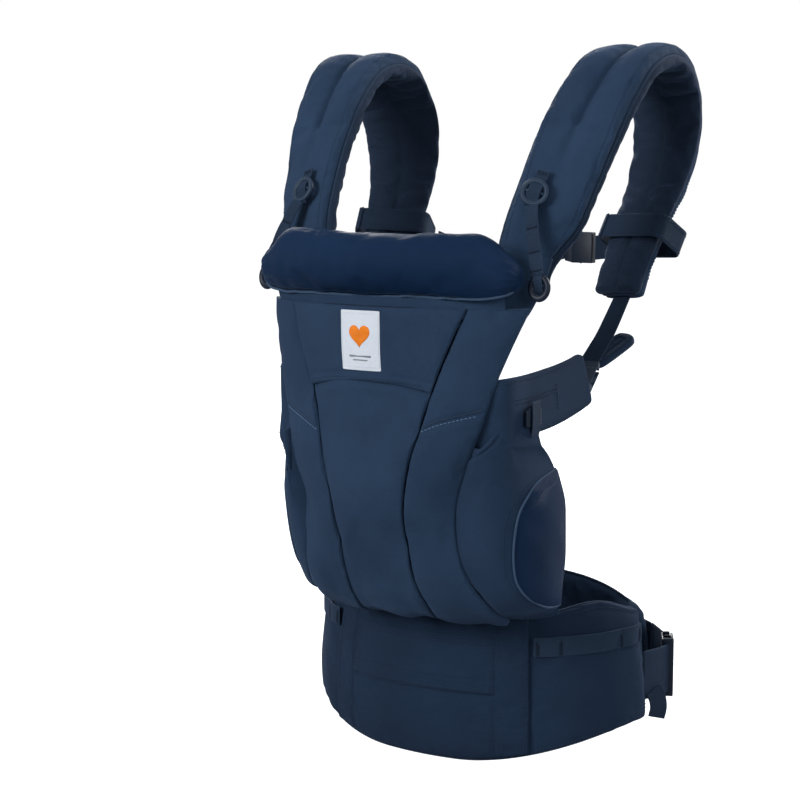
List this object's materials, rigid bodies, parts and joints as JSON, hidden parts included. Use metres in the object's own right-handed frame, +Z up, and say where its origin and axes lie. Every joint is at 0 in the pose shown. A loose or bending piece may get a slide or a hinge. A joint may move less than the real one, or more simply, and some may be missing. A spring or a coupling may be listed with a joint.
{
  "type": "soft baby carrier",
  "caption": "Soft front carrier: padded waist belt ring, bucket-seat body panel, roll-over head support, two padded shoulder straps, webbing and side-release buckles.",
  "frame": {"origin": "on the floor plane, under the middle of the whole carrier", "axes": "-Y out of the front, away from the wearer; +X to the right of someone facing the front; +Z up"},
  "size_m": [0.4068, 0.3909, 0.702],
  "materials": {
    "outer_fabric": "matt navy plain weave",
    "inner_fabric": "matt dark navy knit",
    "satin_fabric": "satin navy",
    "webbing": "ribbed navy webbing",
    "foam": "open-cell foam",
    "label_fabric": "woven white label",
    "plastic": "moulded navy nylon"
  },
  "bodies": {
    "root": {"belt_cover": "outer_fabric", "belt_padding": "inner_fabric", "belt_front_panel": "outer_fabric", "pouch_loop_right": "webbing", "pouch_loop_left": "webbing", "lumbar_pad": "outer_fabric", "waist_socket": "plastic", "waist_webbing_right": "webbing", "waist_webbing_front": "webbing", "waist_webbing_left": "webbing", "body_centre_panel": "outer_fabric", "body_upper_panel": "outer_fabric", "body_side_right": "outer_fabric", "body_side_left": "outer_fabric", "body_liner": "inner_fabric", "label_patch": "label_fabric", "seat_side_right": "outer_fabric", "seat_inset_right": "satin_fabric", "side_band_right": "outer_fabric", "seat_side_left": "outer_fabric", "seat_inset_left": "satin_fabric", "side_band_left": "outer_fabric", "shoulder_cover_right": "outer_fabric", "shoulder_pad_right": "inner_fabric", "ladder_webbing_right": "webbing", "shoulder_socket_right": "plastic", "strap_webbing_right": "webbing", "shoulder_cover_left": "outer_fabric", "shoulder_pad_left": "inner_fabric", "ladder_webbing_left": "webbing", "shoulder_socket_left": "plastic", "strap_webbing_left": "webbing"},
    "head_support": {"head_pillow_cover": "satin_fabric", "head_pillow_foam": "foam", "ladder_slider_right": "plastic", "ladder_slider_left": "plastic"},
    "waist_plug": {"waist_plug": "plastic"},
    "waist_latch_a": {"waist_latch_a": "plastic"},
    "waist_latch_b": {"waist_latch_b": "plastic"},
    "shoulder_plug_right": {"shoulder_plug_right": "plastic", "strap_tab_right": "outer_fabric"},
    "shoulder_latch_a_right": {"shoulder_latch_a_right": "plastic"},
    "shoulder_latch_b_right": {"shoulder_latch_b_right": "plastic"},
    "ring_right": {"ring_button_right": "plastic"},
    "seat_adjuster_right": {"seat_adjuster_right": "plastic"},
    "shoulder_plug_left": {"shoulder_plug_left": "plastic", "strap_tab_left": "outer_fabric"},
    "shoulder_latch_a_left": {"shoulder_latch_a_left": "plastic"},
    "shoulder_latch_b_left": {"shoulder_latch_b_left": "plastic"},
    "ring_left": {"ring_button_left": "plastic"},
    "seat_adjuster_left": {"seat_adjuster_left": "plastic"},
    "chest_strap": {"chest_loop_right": "webbing", "chest_loop_left": "webbing", "chest_webbing_right": "webbing", "chest_webbing_left": "webbing", "chest_socket": "plastic"},
    "chest_plug": {"chest_plug": "plastic"},
    "chest_latch_a": {"chest_latch_a": "plastic"},
    "chest_latch_b": {"chest_latch_b": "plastic"}
  },
  "joints": [
    {"name": "head_support_fold", "type": "hinge", "parent": "root", "child": "head_support", "pos_m": [0, -0.1945, 0.458], "axis": [1, 0, 0], "range_deg": [0, 70], "deforming": ["ladder_webbing_right", "ladder_webbing_left"]},
    {"name": "waist_release", "type": "slide", "parent": "root", "child": "waist_plug", "axis": [-0.4619, 0.8869, 0], "range_m": [0, 0.025], "deforming": ["waist_webbing_right"]},
    {"name": "waist_latch_a_squeeze", "type": "slide", "parent": "waist_plug", "child": "waist_latch_a", "axis": [0, 0, -1], "range_m": [0, 0.0025], "stiffness_N_per_m": 400},
    {"name": "waist_latch_b_squeeze", "type": "slide", "parent": "waist_plug", "child": "waist_latch_b", "axis": [0, 0, 1], "range_m": [0, 0.0025], "stiffness_N_per_m": 400},
    {"name": "shoulder_release_right", "type": "slide", "parent": "root", "child": "shoulder_plug_right", "axis": [0, 0.722, 0.6919], "range_m": [0, 0.018], "deforming": ["strap_webbing_right"]},
    {"name": "shoulder_latch_a_right_squeeze", "type": "slide", "parent": "shoulder_plug_right", "child": "shoulder_latch_a_right", "axis": [-1, 0, 0], "range_m": [0, 0.0016], "stiffness_N_per_m": 400},
    {"name": "shoulder_latch_b_right_squeeze", "type": "slide", "parent": "shoulder_plug_right", "child": "shoulder_latch_b_right", "axis": [1, 0, 0], "range_m": [0, 0.0016], "stiffness_N_per_m": 400},
    {"name": "ring_tilt_right", "type": "hinge", "parent": "root", "child": "ring_right", "pos_m": [0.1322, -0.0939, 0.5692], "axis": [-0.9556, -0.1783, 0.2348], "range_deg": [0, 45]},
    {"name": "seat_width_right", "type": "slide", "parent": "root", "child": "seat_adjuster_right", "axis": [0.133, 0.9853, 0.107], "range_m": [0, 0.018]},
    {"name": "shoulder_release_left", "type": "slide", "parent": "root", "child": "shoulder_plug_left", "axis": [0, 0.722, 0.6919], "range_m": [0, 0.018], "deforming": ["strap_webbing_left"]},
    {"name": "shoulder_latch_a_left_squeeze", "type": "slide", "parent": "shoulder_plug_left", "child": "shoulder_latch_a_left", "axis": [-1, 0, 0], "range_m": [0, 0.0016], "stiffness_N_per_m": 400},
    {"name": "shoulder_latch_b_left_squeeze", "type": "slide", "parent": "shoulder_plug_left", "child": "shoulder_latch_b_left", "axis": [1, 0, 0], "range_m": [0, 0.0016], "stiffness_N_per_m": 400},
    {"name": "ring_tilt_left", "type": "hinge", "parent": "root", "child": "ring_left", "pos_m": [-0.1322, -0.0939, 0.5692], "axis": [-0.9556, 0.1783, -0.2348], "range_deg": [0, 45]},
    {"name": "seat_width_left", "type": "slide", "parent": "root", "child": "seat_adjuster_left", "axis": [-0.133, 0.9853, 0.107], "range_m": [0, 0.018]},
    {"name": "chest_strap_height", "type": "slide", "parent": "root", "child": "chest_strap", "axis": [0, 0.52, 0.8542], "range_m": [-0.014, 0.014]},
    {"name": "chest_release", "type": "slide", "parent": "chest_strap", "child": "chest_plug", "axis": [-1, 0, 0], "range_m": [0, 0.018], "deforming": ["chest_webbing_left"]},
    {"name": "chest_latch_a_squeeze", "type": "slide", "parent": "chest_plug", "child": "chest_latch_a", "axis": [0, 0, -1], "range_m": [0, 0.0016], "stiffness_N_per_m": 400},
    {"name": "chest_latch_b_squeeze", "type": "slide", "parent": "chest_plug", "child": "chest_latch_b", "axis": [0, 0, 1], "range_m": [0, 0.0016], "stiffness_N_per_m": 400}
  ],
  "couplings": [
    {"joint": "waist_latch_b_squeeze", "follows": "waist_latch_a_squeeze", "ratio": 1},
    {"joint": "chest_latch_b_squeeze", "follows": "chest_latch_a_squeeze", "ratio": 1},
    {"joint": "shoulder_latch_b_right_squeeze", "follows": "shoulder_latch_a_right_squeeze", "ratio": 1},
    {"joint": "shoulder_latch_b_left_squeeze", "follows": "shoulder_latch_a_left_squeeze", "ratio": 1}
  ]
}
